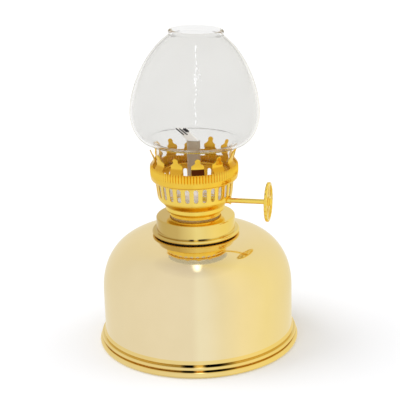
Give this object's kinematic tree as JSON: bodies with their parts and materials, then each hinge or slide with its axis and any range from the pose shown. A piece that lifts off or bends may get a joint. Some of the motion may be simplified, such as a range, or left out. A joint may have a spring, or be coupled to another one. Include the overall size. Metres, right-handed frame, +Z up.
{
  "type": "oil lamp",
  "caption": "Small table oil lamp: domed metal font on a rolled foot, screw-in flat-wick burner with slotted bowl, pronged gallery, side winder knob and bulbous clear glass chimney.",
  "frame": {"origin": "on the lamp's axis at the underside of the foot", "axes": "+Z up along the lamp's axis; +X along the winder shaft, towards the knob"},
  "size_m": [0.1, 0.1, 0.1566],
  "materials": {
    "pale_gold_plate": "polished pale gold plate on pressed sheet",
    "burner_brass": "bright lacquered brass",
    "tinned_steel": "dull tinned sheet steel",
    "seal_rubber": "matte",
    "wick_cotton": "flat braided cotton",
    "chimney_glass": "clear blown glass"
  },
  "bodies": {
    "root": {"font_shell": "pale_gold_plate", "base_plate": "pale_gold_plate", "collar": "pale_gold_plate", "collar_seal": "seal_rubber"},
    "washer": {"burner_washer": "seal_rubber"},
    "burner": {"burner_ferrule": "burner_brass", "burner_floor": "tinned_steel", "burner_bowl": "burner_brass", "gallery_crown": "burner_brass", "wick_tube": "tinned_steel", "wheel_housing": "tinned_steel", "vent_tube": "tinned_steel", "shaft_bushing": "burner_brass"},
    "winder": {"winder_shaft": "burner_brass", "shaft_stop_ring": "tinned_steel", "spur_wheel_left": "tinned_steel", "spur_wheel_right": "tinned_steel", "knob_wheel": "burner_brass", "knob_rivet": "burner_brass"},
    "wick": {"wick": "wick_cotton"},
    "chimney": {"chimney": "chimney_glass"}
  },
  "joints": [
    {"name": "burner_rise", "type": "slide", "parent": "root", "child": "washer", "axis": [0, 0, 1], "range_m": [0, 0.0056]},
    {"name": "burner_screw", "type": "hinge", "parent": "washer", "child": "burner", "pos_m": [0, 0, 0.0658], "axis": [0, 0, 1], "range_deg": [0, 1530]},
    {"name": "winder_spin", "type": "hinge", "parent": "burner", "child": "winder", "pos_m": [0, -0.0038, 0.0743], "axis": [1, 0, 0], "range_deg": [-155, 40]},
    {"name": "wick_slide", "type": "slide", "parent": "burner", "child": "wick", "axis": [0, 0, 1], "range_m": [-0.008, 0.0021]},
    {"name": "chimney_lift", "type": "slide", "parent": "burner", "child": "chimney", "axis": [0, 0, 1], "range_m": [0, 0.045]}
  ],
  "couplings": [
    {"joint": "burner_rise", "follows": "burner_screw", "m_per_rad": 0.0002069},
    {"joint": "wick_slide", "follows": "winder_spin", "m_per_rad": 0.0029}
  ]
}
